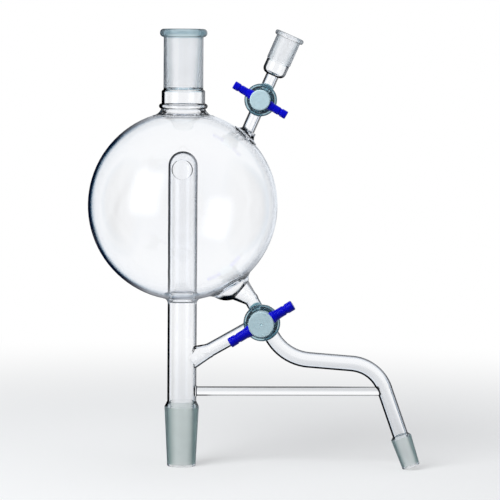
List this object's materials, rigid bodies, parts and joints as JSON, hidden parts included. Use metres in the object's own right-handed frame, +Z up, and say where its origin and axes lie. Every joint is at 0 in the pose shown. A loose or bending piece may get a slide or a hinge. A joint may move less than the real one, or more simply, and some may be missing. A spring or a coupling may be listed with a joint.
{
  "type": "distillation head",
  "caption": "Glass distillation head: round bulb over a closed vapour tube, ground taper joints, a vent stopcock, and a T-bore stopcock between drain, return and outlet arms.",
  "frame": {"origin": "on the axis of the lower joint, at the joint's lower end, where the head stands on a bench", "axes": "+Z up along the vapour tube, +X from the tube towards the outlet arm, +Y away from the stopcocks' heads"},
  "size_m": [0.2311, 0.131, 0.3032],
  "materials": {
    "glass": "clear borosilicate glass, ground on the taper joints",
    "ptfe": "turned, waxy",
    "blue_plastic": "moulded, glossy",
    "rubber": "smooth",
    "white_plastic": "moulded, satin"
  },
  "bodies": {
    "glass": {"glass_body": "glass"},
    "vent_valve": {"vent_plug": "ptfe", "vent_handle": "blue_plastic", "vent_washer": "ptfe", "vent_o_ring": "rubber", "vent_nut": "white_plastic"},
    "tee_valve": {"tee_plug": "ptfe", "tee_handle": "blue_plastic", "tee_washer": "ptfe", "tee_o_ring": "rubber", "tee_nut": "white_plastic"}
  },
  "joints": [
    {"name": "vent_turn", "type": "hinge", "parent": "glass", "child": "vent_valve", "pos_m": [0.05397, 0, 0.25501], "axis": [0, -1, 0], "continuous": true},
    {"name": "tee_turn", "type": "hinge", "parent": "glass", "child": "tee_valve", "pos_m": [0.05615, 0, 0.10251], "axis": [0, -1, 0], "continuous": true}
  ]
}
